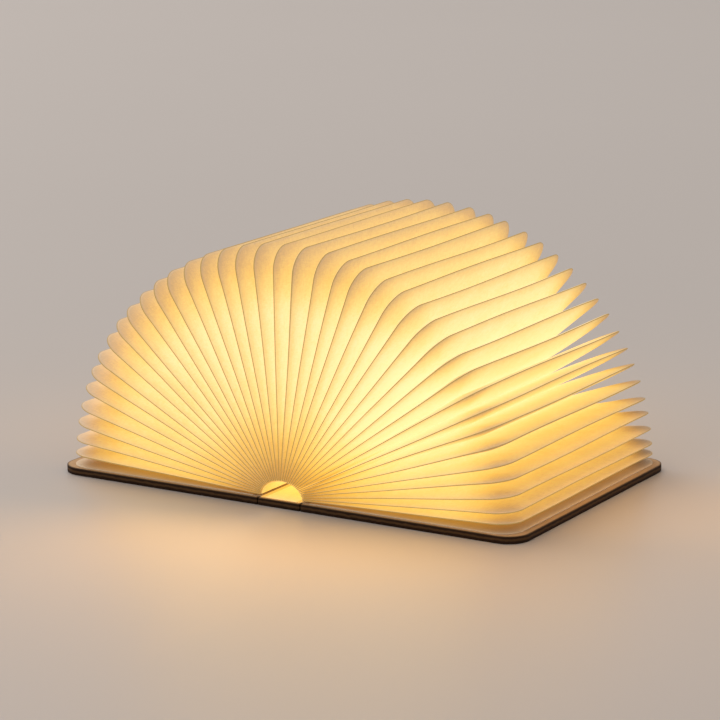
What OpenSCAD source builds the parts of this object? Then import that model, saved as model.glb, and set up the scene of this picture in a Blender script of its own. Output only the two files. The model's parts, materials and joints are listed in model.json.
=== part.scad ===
// Folding book lamp, opened flat: two hinged cover boards on a spine board,
// a fan of paper pages that turn with the covers, and a slim light module in the spine.
// +X runs from the spine to the right cover, +Y to the charging end, +Z up.
// The origin is the middle of the spine board's underside.

/* [Boards] */
// Width of each cover board, from hinge to free edge
board_w = 90; // [75:1:130]
// Height of the book, along the spine
board_d = 125; // [110:1:180]
// Thickness of the cover and spine boards
board_t = 2.8; // [2.6:0.1:4]
// Corner radius of the cover boards
corner_r = 9; // [3:0.5:14]
// Width of the spine board
spine_w = 18; // [17.6:0.2:22]
// Gap between the spine board and each cover board
hinge_gap = 0.4; // [0.3:0.1:0.8]

/* [Hinges and end sheets] */
// Thickness of the cloth hinge tape
tape_t = 0.15; // [0.1:0.05:0.2]
// Width of tape glued to the spine board
tape_on_spine = 2.2; // [1.2:0.1:2.3]
// Width of tape glued to each cover board
tape_on_cover = 2.6; // [1.5:0.1:5]
// Thickness of the end sheet glued inside each cover
sheet_t = 0.3; // [0.2:0.05:0.4]
// Bare strip between the hinge tape and the end sheet
sheet_gap = 0.2; // [0.1:0.05:0.5]

/* [Pages] */
// Pages that turn with the right cover
right_pages = 20; // [14:1:20]
// Pages that turn with the left cover
left_pages = 19; // [14:1:19]
// Thickness of a closed page of two plies
page_t = 0.3; // [0.2:0.02:0.3]
// Distance from a cover's free edge to the page edges
page_margin = 3; // [2:0.5:8]
// Distance from the ends of the boards to the page edges
page_inset = 1.5; // [1:0.5:6]
// Corner radius of the pages
page_corner_r = 9; // [4:0.5:14]
// Slope of the lowest right page in degrees
right_first = 1.8; // [1.5:0.1:3]
// Slope of the last right page in degrees
right_last = 85.2; // [80:0.1:86]
// Slope of the lowest left page in degrees
left_first = 2.4; // [1.5:0.1:3]
// Slope of the last left page in degrees
left_last = 88.4; // [84:0.1:89]
// How much wider the right pages spread away from the cover, 1 is even
right_spread = 1.18; // [1:0.02:1.2]
// How much wider the left pages spread away from the cover, 1 is even
left_spread = 1.1; // [1:0.02:1.2]
// Rise of the page roots over the tunnel
tunnel_rise = 6.7; // [6:0.1:8]

/* [Pleats] */
// Thickness of one ply of the pleats
ply_t = 0.3; // [0.2:0.05:0.4]
// Depth of the groove between two pages
groove_depth = 24; // [10:1:34]
// Distance from the page edges to the ends of the pleats
pleat_inset = 8; // [5:0.5:14]
// Distance from the page edges to the top of a groove
pleat_rim = 1.5; // [0.5:0.1:3]
// Height of a pleat's wall, along the page
fold_s = 2.4; // [1.5:0.1:4]
// Distance from the page roots to the start of the pleats
pleat_start = 10; // [8:1:20]

/* [Light module] */
// Width of the spine board on each side of the module
module_side = 2.5; // [2.4:0.1:2.8]
// Depth of the pocket in the spine board
pocket_depth = 1.8; // [1.4:0.1:1.9]
// Wall thickness of the tray and the diffuser
module_wall = 0.6; // [0.4:0.05:0.7]
// Thickness of the tray's floor
tray_floor = 0.4; // [0.3:0.05:0.5]
// Distance from the front end of the spine to the module
module_front = 21.5; // [14:0.5:24]
// Distance from the charging end of the spine to the module
module_back = 0.1; // [0:0.05:0.3]
// Thickness of the diffuser's roof
diffuser_t = 0.6; // [0.4:0.05:0.8]
// Outer edge radius of the diffuser
diffuser_r = 1.2; // [0.8:0.1:1.3]

/* [Electrics] */
// Room on each side of the battery cell
cell_side = 0.3; // [0.1:0.1:1.2]
// Length of the battery cell
cell_l = 60; // [40:1:66]
// Thickness of the battery cell
cell_t = 2.2; // [1.9:0.05:2.2]
// Distance from the front end of the light board to the battery cell
cell_front = 6; // [5:0.5:10]
// Length of the battery leads, from the cell to the light board
lead_l = 9; // [5:0.5:12]
// Thickness of the light board
pcb_t = 0.6; // [0.5:0.05:0.8]
// Number of light-emitting diodes
led_count = 8; // [3:1:12]
// Distance from the ends of the light board to the end diodes
led_inset = 8; // [4:0.5:14]
// Width and length of a diode
led_size = [2.8, 3.5];
// Height of a diode
led_h = 0.6; // [0.4:0.05:0.7]
// Width of the charging socket
socket_w = 7.5; // [6:0.1:8]
// Length of the charging socket
socket_l = 5.8; // [5:0.1:7]
// Wall thickness of the charging socket
socket_wall = 0.3; // [0.2:0.05:0.4]
// Distance from the battery leads to the middle of the opening sensor
sensor_gap = 2; // [2:0.5:6]
// Radius of the battery leads
lead_r = 0.4; // [0.3:0.05:0.5]

/* [Magnets] */
// Radius of a magnet
magnet_r = 3; // [2:0.1:4]
// Thickness of a magnet
magnet_t = 1.5; // [1:0.1:1.8]
// Distance from a cover's free edge to its magnets
magnet_inset = 8; // [7:0.5:14]
// Distance from the middle of the book to the catch magnets
magnet_y = 48; // [30:1:50]
// Distance from the hinge to the sensor magnet
sensor_magnet_x = 8; // [7:0.5:12]

/* [Hidden] */
$fn = 96;
seat = 0.05;                                  // clearance of a seated piece
through = 0.5;                                // how far a cut passes through a wall
root_clear = 0.1;                             // tunnel's reach past the hinge line
root_lift = 0.2;                              // lowest page root above the end sheets
first_root = 4;                               // angle of the lowest page root on the tunnel
half_d = board_d/2;
hinge_x = spine_w/2 + hinge_gap/2;            // hinge line, on the boards' inner faces
cover_x = spine_w/2 + hinge_gap;              // hinge edge of a cover board
page_l = board_w - page_margin;
page_half = half_d - page_inset;
pages = right_pages + left_pages;

tape_x = spine_w/2 - tape_on_spine;           // inner edge of the hinge tape
sheet_x = cover_x + tape_on_cover + sheet_gap;

tunnel_w = hinge_x + root_clear;
tunnel_z = board_t + sheet_t + root_lift;
binding_gap = 0.3;                            // binding to page roots
binding_t = 0.2;
binding_inset = 1;                            // binding's ends to page ends

ridge_s = page_l - pleat_rim;                 // top of a groove, along the page
valley_s = page_l - groove_depth;             // bottom of a groove

module_w = spine_w - 2*module_side;
pocket_w = module_w + 0.2;
pocket_z = board_t - pocket_depth;
module_y0 = module_front - half_d;
module_y1 = half_d - module_back;
inner_w = module_w - 2*module_wall;
rib_w = 0.6;
rib_h = cell_t + 2*seat;
cell_w = inner_w - 2*rib_w - 2*cell_side;
floor_z = pocket_z + tray_floor;
pcb_z = floor_z + rib_h;
pcb_w = inner_w - 0.4;
pcb_y0 = module_y0 + module_wall + 0.3;
pcb_y1 = module_y1 - module_wall - 0.3;
led_z = pcb_z + pcb_t;
tray_top = led_z + 0.1;
led_room = led_h + 0.2;                       // from the tray's top to the diffuser's roof
diffuser_top = tray_top + led_room + diffuser_t;
led_span = pcb_y1 - pcb_y0 - 2*led_inset;
socket_z = pocket_z + 0.1;
socket_h = pcb_z - socket_z;
socket_y1 = module_y1 - 0.1;
cell_y0 = pcb_y0 + cell_front;
cell_y1 = cell_y0 + cell_l;
lead_x = cell_w/4;
lead_end = cell_y1 + lead_l;
lead_z = floor_z + cell_t/2;
sensor_x = pcb_w/2 - 1.6;
sensor_y = lead_end + sensor_gap;

function two(n) = n < 10 ? str("0", n) : str(n);
function page_name(i) = i < right_pages
    ? str("right_page_", two(i + 1))
    : str("left_page_", two(pages - i));

// Pages are counted from the right cover, over the top, to the left cover.
function slope(n, count, first, last, spread) =
    first + (last - first)*pow(n/(count - 1), spread);
function page_angle(i) = i < right_pages
    ? slope(i, right_pages, right_first, right_last, right_spread)
    : 180 - slope(pages - 1 - i, left_pages, left_first, left_last, left_spread);
function root_angle(i) = first_root + (180 - 2*first_root)*i/(pages - 1);
function root_point(i) = [tunnel_w*cos(root_angle(i)), tunnel_z + tunnel_rise*sin(root_angle(i))];

// A point beside page i: s along it from its root, h off its middle plane.
function beside(i, s, h) = root_point(i)
    + s*[cos(page_angle(i)), sin(page_angle(i))]
    + h*[-sin(page_angle(i)), cos(page_angle(i))];
function midpoint(p, q) = (p + q)/2;

// Builds for the right side, and mirrors for the left one.
module on_side(side) {
    if (side == "left") mirror([1, 0, 0]) children();
    else children();
}

// Box between two x values and two y values, standing on z.
module slab(x0, x1, y0, y1, z, h) {
    translate([x0, y0, z]) cube([x1 - x0, y1 - y0, h]);
}

// Outline from x = 0 to l, half to each side of the X axis, with its far corners rounded.
module leaf_outline(l, half, r) {
    translate([0, -half]) square([l - r, 2*half]);
    translate([0, r - half]) square([l, 2*(half - r)]);
    for (s = [-1, 1]) translate([l - r, s*(half - r)]) circle(r);
}

// Extrudes an outline drawn in X and Z along Y, from y0 to y1.
module along_spine(y0, y1) {
    translate([0, y1, 0]) rotate([90, 0, 0]) linear_extrude(y1 - y0) children();
}

module magnet_places(side) {
    for (y = [-magnet_y, magnet_y])
        translate([cover_x + board_w - magnet_inset, y, 0]) children();
    if (side == "right") translate([cover_x + sensor_magnet_x, sensor_y, 0]) children();
}

module cover_board(side) {
    color("#4a2f1d") on_side(side) difference() {
        translate([cover_x, 0, 0]) linear_extrude(board_t) leaf_outline(board_w, half_d, corner_r);
        magnet_places(side)
            translate([0, 0, board_t - magnet_t - seat])
                cylinder(r = magnet_r + seat, h = magnet_t + through);
    }
}

module spine_board() {
    color("#4a2f1d") difference() {
        slab(-spine_w/2, spine_w/2, -half_d, half_d, 0, board_t);
        slab(-pocket_w/2, pocket_w/2, module_y0 - seat, half_d + through,
             pocket_z, pocket_depth + through);
    }
}

module hinge_tape(side) {
    color("#8a6a4a") on_side(side)
        slab(tape_x, cover_x + tape_on_cover, -page_half, page_half, board_t, tape_t);
}

module end_sheet(side) {
    color("#f4e9cf") on_side(side)
        translate([sheet_x, 0, board_t]) linear_extrude(sheet_t)
            leaf_outline(cover_x + page_l - sheet_x, page_half, page_corner_r);
}

module magnets(side) {
    color("#b9bcc0") on_side(side) magnet_places(side)
        translate([0, 0, board_t - magnet_t]) cylinder(r = magnet_r, h = magnet_t);
}

module page(i) {
    color("#fff3d0") translate([root_point(i)[0], 0, root_point(i)[1]])
        rotate([0, -page_angle(i), 0])
            translate([0, 0, -page_t/2]) linear_extrude(page_t)
                leaf_outline(page_l, page_half, page_corner_r);
}

// The two plies that close the groove between pages i and i + 1, with their front and back ends.
module pleat(i) {
    h = page_t/2 + seat;
    wide = h - through;
    y_end = page_half - pleat_inset;
    difference() {
        along_spine(-y_end, y_end) polygon([
            beside(i, pleat_start, h), beside(i, ridge_s, h),
            midpoint(beside(i, valley_s, h), beside(i + 1, valley_s, -h)),
            beside(i + 1, ridge_s, -h), beside(i + 1, pleat_start, -h)]);
        along_spine(ply_t - y_end, y_end - ply_t) polygon([
            beside(i, pleat_start - through, wide), beside(i, ridge_s - fold_s, wide),
            midpoint(beside(i, valley_s - fold_s, h), beside(i + 1, valley_s - fold_s, -h)),
            beside(i + 1, ridge_s - fold_s, -wide),
            beside(i + 1, pleat_start - through, -wide)]);
    }
}

module pleats(first, last) {
    color("#ffe9b0") for (i = [first:last]) pleat(i);
}

// Thin strip under the page roots, a quarter of the tunnel's arch.
module binding(side) {
    steps = 20;
    w = tunnel_w - binding_gap;
    rise = tunnel_rise - binding_gap;
    arch = [for (k = [0:steps]) first_root + (89 - first_root)*k/steps];
    color("#f7e7c0") on_side(side)
        along_spine(binding_inset - page_half, page_half - binding_inset)
            polygon(concat(
                [for (a = arch) [w*cos(a), tunnel_z + rise*sin(a)]],
                [for (k = [steps:-1:0])
                    [(w - binding_t)*cos(arch[k]), tunnel_z + (rise - binding_t)*sin(arch[k])]]));
}

module module_tray() {
    color("#efece4") difference() {
        union() {
            difference() {
                slab(-module_w/2, module_w/2, module_y0, module_y1, pocket_z, tray_top - pocket_z);
                slab(-inner_w/2, inner_w/2, module_y0 + module_wall, module_y1 - module_wall,
                     floor_z, tray_top);
            }
            for (s = [-1, 1])
                translate([s*(inner_w - rib_w)/2, 0, 0])
                    slab(-rib_w/2, rib_w/2, module_y0 + module_wall/2, module_y1 - module_wall/2,
                         floor_z - tray_floor/2, rib_h + tray_floor/2);
        }
        slab(-socket_w/2 - seat, socket_w/2 + seat, socket_y1 - socket_l - seat,
             module_y1 + through, pocket_z - through, pcb_z - pocket_z + through);
    }
}

module battery_cell() {
    r = cell_t/2;
    seal = 2;
    color("#9aa0a6") {
        along_spine(cell_y0, cell_y1) translate([0, floor_z + seat + r]) {
            square([cell_w - 2*r, cell_t], center = true);
            for (s = [-1, 1]) translate([s*(cell_w/2 - r), 0]) circle(r);
        }
        slab(-cell_w/2 + r, cell_w/2 - r, cell_y0 - seal, cell_y0 + 1, floor_z + seat + r, 0.3);
    }
}

module battery_leads() {
    color("#b02a22") for (s = [-1, 1]) translate([s*lead_x, 0, 0]) {
        along_spine(cell_y1, lead_end) translate([0, lead_z]) circle(lead_r);
        translate([0, lead_end - lead_r, lead_z]) cylinder(r = lead_r, h = pcb_z - lead_z);
    }
}

module light_board() {
    color("#f3f4f0") {
        slab(-pcb_w/2, pcb_w/2, pcb_y0, pcb_y1, pcb_z, pcb_t);
        // Charging chip, its coil and the resistors, on the underside behind the cell.
        slab(-1.9, 1.9, lead_end + 2, lead_end + 6, pcb_z - 1.2, 1.3);
        slab(2.6, 4.4, lead_end + 2, lead_end + 4, pcb_z - 1, 1.1);
        for (k = [0:2]) slab(-4.2, -3.2, lead_end + 2 + 2*k, lead_end + 3 + 2*k, pcb_z - 0.5, 0.6);
    }
}

module light_diodes() {
    color("#ffd873") for (k = [0:led_count - 1])
        translate([0, (pcb_y0 + pcb_y1)/2 + led_span*(k/(led_count - 1) - 0.5), led_z])
            slab(-led_size[0]/2, led_size[0]/2, -led_size[1]/2, led_size[1]/2, 0, led_h);
}

module opening_sensor() {
    color("#26282b") translate([sensor_x, sensor_y, led_z]) slab(-0.8, 0.8, -1.5, 1.5, 0, led_h);
}

module charge_socket() {
    mouth = socket_l - 1;
    color("#c4c7ca") {
        difference() {
            slab(-socket_w/2, socket_w/2, socket_y1 - socket_l, socket_y1, socket_z, socket_h);
            slab(-socket_w/2 + socket_wall, socket_w/2 - socket_wall, socket_y1 - mouth,
                 socket_y1 + through, socket_z + socket_wall, socket_h - 2*socket_wall);
        }
        slab(-socket_w/4, socket_w/4, socket_y1 - mouth - 0.5, socket_y1 - 1.2,
             socket_z + socket_h/2 - 0.3, 0.6);
    }
}

module cap_outline(w, top, r) {
    translate([-w/2, tray_top]) square([w, top - r - tray_top]);
    translate([r - w/2, tray_top]) square([w - 2*r, top - tray_top]);
    for (s = [-1, 1]) translate([s*(w/2 - r), top - r]) intersection() {
        circle(r);
        translate([-r, tray_top - top + r]) square([2*r, 2*r]);
    }
}

module diffuser_cover() {
    color("#fff6dc") difference() {
        along_spine(module_y0, module_y1) cap_outline(module_w, diffuser_top, diffuser_r);
        along_spine(module_y0 + module_wall, module_y1 - module_wall)
            translate([-inner_w/2, tray_top - through]) square([inner_w, led_room + through]);
    }
}

spine_board();
for (side = ["right", "left"]) {
    cover_board(side);
    end_sheet(side);
    hinge_tape(side);
    magnets(side);
    binding(side);
}
for (i = [0:pages - 1]) page(i);
pleats(0, right_pages - 1);  // right_pleats
pleats(right_pages, pages - 2);  // left_pleats
module_tray();
battery_cell();
battery_leads();
light_board();
light_diodes();
opening_sensor();
charge_socket();
diffuser_cover();
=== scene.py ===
"""Folding book lamp, opened flat and lit: its looks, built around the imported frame.

The covers and the spine board are walnut-faced boards with burnt, laser-cut edges. Between
them stands a fan of translucent paper pages, each a shallow pocket of two plies that are
seamed at the rim and swell towards their neighbours, and a slim light module lies in the
spine. Lengths are in metres, +X runs to the right cover, +Y to the charging end, +Z up.
"""

import json
import logging
import math
from dataclasses import dataclass, field
from enum import Enum
from typing import ClassVar

import bpy
import numpy as np
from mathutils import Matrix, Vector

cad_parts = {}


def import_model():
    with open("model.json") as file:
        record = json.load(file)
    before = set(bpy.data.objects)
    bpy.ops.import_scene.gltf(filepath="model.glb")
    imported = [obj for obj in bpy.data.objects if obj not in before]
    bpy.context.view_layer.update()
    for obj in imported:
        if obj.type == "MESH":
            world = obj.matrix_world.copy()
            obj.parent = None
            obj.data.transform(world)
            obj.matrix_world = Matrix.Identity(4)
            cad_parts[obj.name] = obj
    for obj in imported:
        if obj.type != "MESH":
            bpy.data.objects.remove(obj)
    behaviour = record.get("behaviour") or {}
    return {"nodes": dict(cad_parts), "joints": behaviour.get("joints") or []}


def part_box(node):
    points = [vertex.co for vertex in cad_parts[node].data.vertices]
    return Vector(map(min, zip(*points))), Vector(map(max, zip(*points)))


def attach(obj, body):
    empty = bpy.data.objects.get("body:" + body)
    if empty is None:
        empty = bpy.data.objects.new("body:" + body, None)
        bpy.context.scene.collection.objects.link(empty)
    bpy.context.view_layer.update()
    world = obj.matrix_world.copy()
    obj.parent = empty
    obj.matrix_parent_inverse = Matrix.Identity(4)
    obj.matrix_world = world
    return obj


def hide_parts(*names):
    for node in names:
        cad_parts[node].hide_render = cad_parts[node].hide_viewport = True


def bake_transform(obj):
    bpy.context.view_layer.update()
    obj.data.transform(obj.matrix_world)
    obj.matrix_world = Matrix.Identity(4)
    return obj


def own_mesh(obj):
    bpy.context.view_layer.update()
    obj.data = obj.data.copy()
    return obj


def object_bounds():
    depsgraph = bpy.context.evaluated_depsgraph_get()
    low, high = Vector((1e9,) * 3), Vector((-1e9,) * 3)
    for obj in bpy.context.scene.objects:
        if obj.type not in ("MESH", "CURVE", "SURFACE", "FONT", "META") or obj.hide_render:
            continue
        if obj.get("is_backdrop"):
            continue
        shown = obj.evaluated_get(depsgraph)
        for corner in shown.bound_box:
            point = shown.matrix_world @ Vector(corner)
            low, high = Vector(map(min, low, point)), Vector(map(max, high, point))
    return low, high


MM = 0.001
LOG = logging.getLogger("book_lamp")
PAPER_CREASE = 50.0  # degrees that a fold in paper may turn and still look soft

Colour = tuple[float, float, float]
Stops = tuple[tuple[float, Colour], ...]
Socket = bpy.types.NodeSocket


class Side(Enum):
    """A side of the lamp; its value is the sign of X there."""

    RIGHT = 1.0
    LEFT = -1.0

    def __str__(self) -> str:
        """The word that the side's nodes, bodies and joints begin with."""
        return self.name.lower()


# ------------------------------------------------------------------ camera and stage


@dataclass(frozen=True)
class Camera:
    """The camera, placed round a point in the middle of the fan."""

    azimuth: float = 30.47
    elevation: float = 13.13
    distance: float = 1.2105
    lens: float = 158.8
    sensor: float = 36.0
    aim_right: float = -0.0017
    aim_height: float = 0.0434
    clip: tuple[float, float] = (0.05, 50.0)

    def build(self) -> bpy.types.Object:
        """Make the camera and set it as the scene's own.

        Returns:
            The camera object.
        """
        a, e = math.radians(self.azimuth), math.radians(self.elevation)
        back = np.array([math.sin(a) * math.cos(e), -math.cos(a) * math.cos(e), math.sin(e)])
        right = np.array([math.cos(a), math.sin(a), 0.0])
        aim = right * self.aim_right + np.array([0.0, 0.0, self.aim_height])
        data = bpy.data.cameras.new("camera")
        data.lens = self.lens
        data.sensor_width = self.sensor
        data.clip_start, data.clip_end = self.clip
        camera = bpy.data.objects.new("camera", data)
        camera.location = aim + back * self.distance
        camera.rotation_euler = (math.pi / 2 - e, 0.0, a)
        bpy.context.scene.collection.objects.link(camera)
        bpy.context.scene.camera = camera
        return camera


@dataclass(frozen=True)
class Lamp:
    """A soft rectangular light that looks at a point."""

    name: str
    place: tuple[float, float, float]
    size: tuple[float, float]
    power: float
    colour: Colour
    target: tuple[float, float, float] = (0.0, 0.0, 0.0)
    seen: bool = True

    def build(self) -> None:
        """Make the lamp, turned so that its -Z axis points at the target."""
        data = bpy.data.lights.new(self.name, "AREA")
        data.shape = "RECTANGLE"
        data.size, data.size_y = self.size
        data.energy = self.power
        data.color = self.colour
        lamp = bpy.data.objects.new(self.name, data)
        lamp.location = self.place
        x, y, z = np.array(self.place) - np.array(self.target)
        tilt, turn = math.atan2(math.hypot(x, y), z), math.atan2(y, x) + math.pi / 2
        lamp.rotation_euler = (tilt, 0.0, turn)
        lamp.visible_camera = self.seen
        lamp.visible_glossy = self.seen
        bpy.context.scene.collection.objects.link(lamp)


@dataclass(frozen=True)
class Studio:
    """Pale floor, plain world, soft lamps, and the pages' own light on the floor.

    The paper's emission shows its brightness. Four hidden glow lamps, one beside each face
    of the fan and nearly as high as it, add the rest of its light, which falls on the floor
    and on the boards' rims.
    """

    floor_size: float = 12.0
    floor_colour: Colour = (0.485, 0.434, 0.399)
    floor_mottle: float = 0.985
    world_colour: Colour = (1.0, 0.97, 0.95)
    world_strength: float = 0.54
    lamps: tuple[Lamp, ...] = (
        Lamp("lamp_key", (-2.2, 0.7, 2.4), (2.4, 2.4), 56.0, (1.0, 0.97, 0.94)),
        Lamp("lamp_fill", (-1.2, -2.2, 2.2), (2.0, 2.0), 10.0, (1.0, 0.97, 0.95)),
    )
    glow_colour: Colour = (1.0, 0.52, 0.08)
    glow_front: float = 0.15
    glow_back: float = 0.025
    glow_right: float = 0.052
    glow_left: float = 0.012
    glow_height: float = 78.0 * MM
    glow_clear: float = 28.0 * MM  # outside the part, where they stand
    glow_front_reach: float = 300.0 * MM  # outside the part, where the front one looks
    glow_side_reach: float = 120.0 * MM  # and where the others look
    glow_front_shift: float = 0.15  # of the part's half width, to the right
    glow_width: float = 1.5  # of the face's half width

    def build(self) -> None:
        """Make the world, the lamps and the floor, and set how the picture is developed."""
        scene = bpy.context.scene
        scene.view_settings.view_transform = "Standard"
        world = bpy.data.worlds.new("studio_world")
        world.use_nodes = True
        backdrop = world.node_tree.nodes["Background"]
        backdrop.inputs["Color"].default_value = (*self.world_colour, 1.0)
        backdrop.inputs["Strength"].default_value = self.world_strength
        scene.world = world
        for lamp in (*self.lamps, *self._glow_lamps()):
            lamp.build()
        self._floor()

    def _glow_lamps(self) -> list[Lamp]:
        """The hidden lamps, one beside each face of the fan, that look out and down.

        Returns:
            The four lamps.
        """
        low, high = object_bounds()
        long, short = self.glow_width * high[0], self.glow_width * high[1]
        ahead, beside = self.glow_front_reach, self.glow_side_reach
        lamps = []
        for name, x, y, width, power, reach in (
            ("front", self.glow_front_shift * high[0], low[1], long, self.glow_front, ahead),
            ("back", 0.0, high[1], long, self.glow_back, beside),
            ("right", high[0], 0.0, short, self.glow_right, beside),
            ("left", low[0], 0.0, short, self.glow_left, beside),
        ):
            away = max(abs(x), abs(y))
            near, far = 1 + self.glow_clear / away, 1 + reach / away
            place = (near * x, near * y, self.glow_height)
            target = (far * x, far * y, 0.0)
            size = (width, self.glow_height)
            lamps.append(
                Lamp(f"glow_{name}", place, size, power, self.glow_colour, target, seen=False)
            )
        return lamps

    def _floor(self) -> None:
        """Make the floor, one square of paper-smooth tabletop at z = 0."""
        h = self.floor_size / 2
        corners = np.array([[-h, -h, 0], [h, -h, 0], [h, h, 0], [-h, h, 0]], float)
        floor = Mesh.build("floor", corners, [[0, 1, 2, 3]])
        tree = Tree("floor_paint")
        mottled = tuple(self.floor_mottle * c for c in self.floor_colour)
        mottle = tree.noise(tree.coords(), 3.0, 3.0)
        paint = tree.ramp(mottle, ((0.3, mottled), (0.7, self.floor_colour)))
        tree.set(Base_Color=paint, Roughness=0.38, Specular_IOR_Level=0.4)
        floor.data.materials.append(tree.material)
        floor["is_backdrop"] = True


# ------------------------------------------------------------------ meshes


def smooth(x: np.ndarray) -> np.ndarray:
    """Smoothstep of x: 3x^2 - 2x^3, held at 0 below 0 and at 1 above 1."""
    t = np.clip(x, 0.0, 1.0)
    return t * t * (3 - 2 * t)


class Mesh:
    """Helpers that turn numpy arrays into Blender meshes.

    A solid is a stack of rings of points, and a sleeve is a solid whose rings are flat:
    each runs across one face and back across the other.
    """

    @staticmethod
    def build(
        name: str,
        points: np.ndarray,
        faces: list[list[int]],
        marks: dict[str, np.ndarray] | None = None,
        crease: float = 35.0,
    ) -> bpy.types.Object:
        """Make an object at the origin from points and faces.

        Args:
            name: Name of the piece.
            points: Vertex places, in any array whose rows are X, Y and Z.
            faces: Vertex numbers of each face.
            marks: Values per vertex, kept as float attributes that the materials read.
            crease: Edges that turn by more than this many degrees stay sharp.

        Returns:
            The new object, linked to the scene.
        """
        data = bpy.data.meshes.new(name)
        data.from_pydata(points.reshape(-1, 3).tolist(), [], faces)
        for mark, values in (marks or {}).items():
            attribute = data.attributes.new(mark, "FLOAT", "POINT")
            attribute.data.foreach_set("value", values.astype(np.float32).ravel())
        data.shade_smooth()
        data.set_sharp_from_angle(angle=math.radians(crease))
        data.validate()
        piece = bpy.data.objects.new(name, data)
        bpy.context.scene.collection.objects.link(piece)
        return piece

    @staticmethod
    def points(piece: bpy.types.Object) -> np.ndarray:
        """Read a mesh back.

        Args:
            piece: A piece or CAD node.

        Returns:
            Its vertex places, one row each.
        """
        flat = np.empty(3 * len(piece.data.vertices))
        piece.data.vertices.foreach_get("co", flat)
        return flat.reshape(-1, 3)

    @staticmethod
    def _tube(rows: int, ring: int) -> np.ndarray:
        """Quads between `rows` rings of `ring` points, each ring closed on itself.

        Args:
            rows: Number of rings.
            ring: Points in a ring.

        Returns:
            One row of four vertex numbers for each quad.
        """
        i, k = np.meshgrid(np.arange(rows - 1), np.arange(ring), indexing="ij")
        n = (k + 1) % ring
        quads = np.stack([i * ring + k, (i + 1) * ring + k, (i + 1) * ring + n, i * ring + n], -1)
        return quads.reshape(-1, 4)

    @staticmethod
    def solid(rows: int, ring: int) -> list[list[int]]:
        """Faces of an upright solid: quads between its rings, and a flat lid on each end.

        Args:
            rows: Number of rings, from below to above.
            ring: Points in a ring, anticlockwise seen from above.

        Returns:
            Vertex numbers of each face.
        """
        sides = Mesh._tube(rows, ring)[:, ::-1].tolist()
        floor = list(range(ring))[::-1]
        lid = list(range((rows - 1) * ring, rows * ring))
        return [*sides, floor, lid]

    @staticmethod
    def sleeve(rows: int, half: int, turned: bool) -> list[list[int]]:
        """Faces of a sleeve: quads between its rings, and a strip of quads on each end.

        The point k of a ring lies opposite the point 2 * half - 1 - k.

        Args:
            rows: Number of rings.
            half: Points of a ring across one face.
            turned: True to turn the faces over.

        Returns:
            Vertex numbers of each face.
        """
        k = np.arange(half - 1)
        a, b, c, d = k, k + 1, 2 * half - 2 - k, 2 * half - 1 - k
        end = (rows - 1) * 2 * half
        first = np.stack([a, b, c, d], -1)
        last = np.stack([a + end, d + end, c + end, b + end], -1)
        faces = np.concatenate([Mesh._tube(rows, 2 * half), first, last])
        return (faces[:, ::-1] if turned else faces).tolist()

    @staticmethod
    def rings(first: np.ndarray, second: np.ndarray) -> np.ndarray:
        """Rings of a sleeve, from values on the grids of its two faces."""
        return np.concatenate([first, second[:, ::-1]], 1)

    @staticmethod
    def prism(name: str, outline: np.ndarray, z0: float, z1: float) -> bpy.types.Object:
        """Make an upright solid of one outline.

        Args:
            name: Name of the piece.
            outline: X and Y of each point, anticlockwise seen from above.
            z0: Its lower end.
            z1: Its upper end.

        Returns:
            The new object.
        """
        rings = [np.column_stack([outline, np.full(len(outline), z)]) for z in (z0, z1)]
        return Mesh.build(name, np.concatenate(rings), Mesh.solid(2, len(outline)))

    @staticmethod
    def carve(piece: bpy.types.Object, cutters: list[bpy.types.Object]) -> None:
        """Cut closed shapes out of a closed piece, and remove the cutters.

        Args:
            piece: The piece that is cut.
            cutters: The shapes that are taken out.
        """
        for cutter in cutters:
            cut = piece.modifiers.new("cut", "BOOLEAN")
            cut.operation = "DIFFERENCE"
            cut.solver = "EXACT"
            cut.object = cutter
        bpy.context.view_layer.update()
        graph = bpy.context.evaluated_depsgraph_get()
        data = bpy.data.meshes.new_from_object(piece.evaluated_get(graph))
        piece.modifiers.clear()
        piece.data = data
        for cutter in cutters:
            bpy.data.objects.remove(cutter)


# ------------------------------------------------------------------ shader trees


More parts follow.
